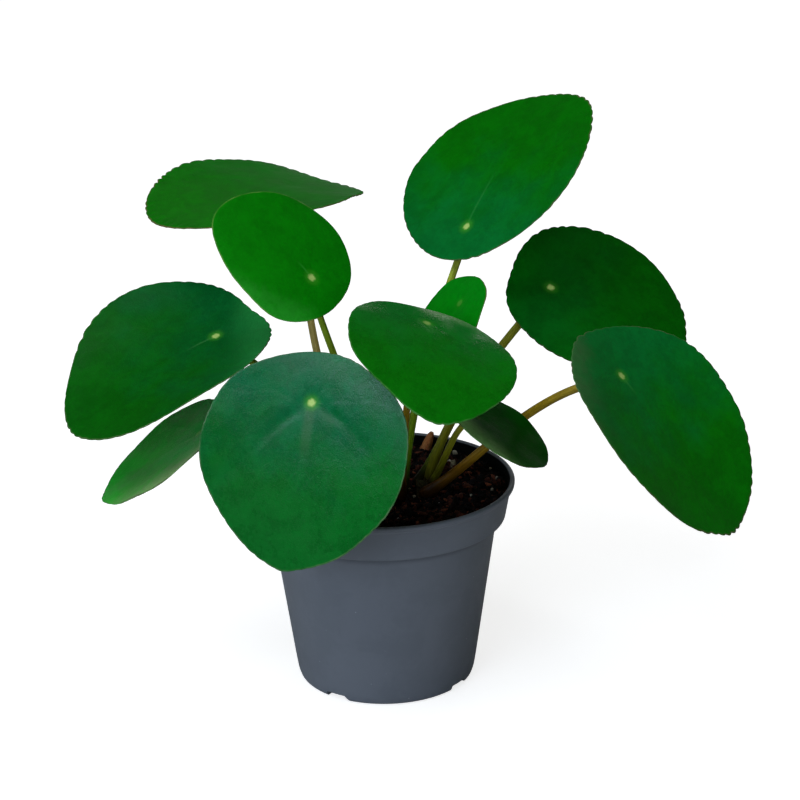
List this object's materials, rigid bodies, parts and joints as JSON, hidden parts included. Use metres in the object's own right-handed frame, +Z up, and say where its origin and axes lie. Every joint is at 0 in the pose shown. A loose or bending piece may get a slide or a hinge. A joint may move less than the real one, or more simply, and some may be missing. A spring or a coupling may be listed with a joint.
{
  "type": "potted chinese money plant",
  "caption": "Round-leaved chinese money plant on short stems in a plain tapered grey nursery pot filled with dark potting soil.",
  "frame": {"origin": "centre of the pot's base, on the surface that it stands on", "axes": "+Z up the pot's axis, -Y towards the plant's front, where most blades face"},
  "size_m": [0.3065, 0.2087, 0.2521],
  "materials": {
    "grey_plastic": "satin moulded plastic, slightly bluish grey",
    "potting_soil": "matte damp peat and bark, with pale grains",
    "woody_stem": "matte brown bark with old leaf scars",
    "dry_stalk": "matte dried orange-brown stalk",
    "leaf_bright": "semi-gloss bright green leaf",
    "leaf_green": "semi-gloss mid green leaf",
    "leaf_dark": "semi-gloss dark green leaf",
    "leaf_olive": "semi-gloss olive green leaf",
    "stalk_green": "satin yellow-green stalk",
    "stalk_tan": "satin tan stalk",
    "stalk_brown": "satin olive-brown stalk"
  },
  "bodies": {
    "root": {"pot": "grey_plastic", "soil": "potting_soil", "trunk": "woody_stem", "side_stem": "woody_stem", "old_stub": "dry_stalk", "blade_back_left": "leaf_olive", "blade_upper_left": "leaf_bright", "blade_left": "leaf_green", "blade_low_left": "leaf_green", "blade_front": "leaf_green", "blade_middle": "leaf_bright", "blade_top": "leaf_green", "blade_young_back": "leaf_bright", "blade_upper_right": "leaf_dark", "blade_right": "leaf_green", "blade_young_right": "leaf_dark", "stalk_back_left": "stalk_tan", "stalk_upper_left": "stalk_green", "stalk_left": "stalk_green", "stalk_low_left": "stalk_green", "stalk_front": "stalk_brown", "stalk_middle": "stalk_brown", "stalk_top": "stalk_green", "stalk_young_back": "stalk_green", "stalk_upper_right": "stalk_green", "stalk_right": "stalk_brown", "stalk_young_right": "stalk_green"}
  },
  "joints": []
}
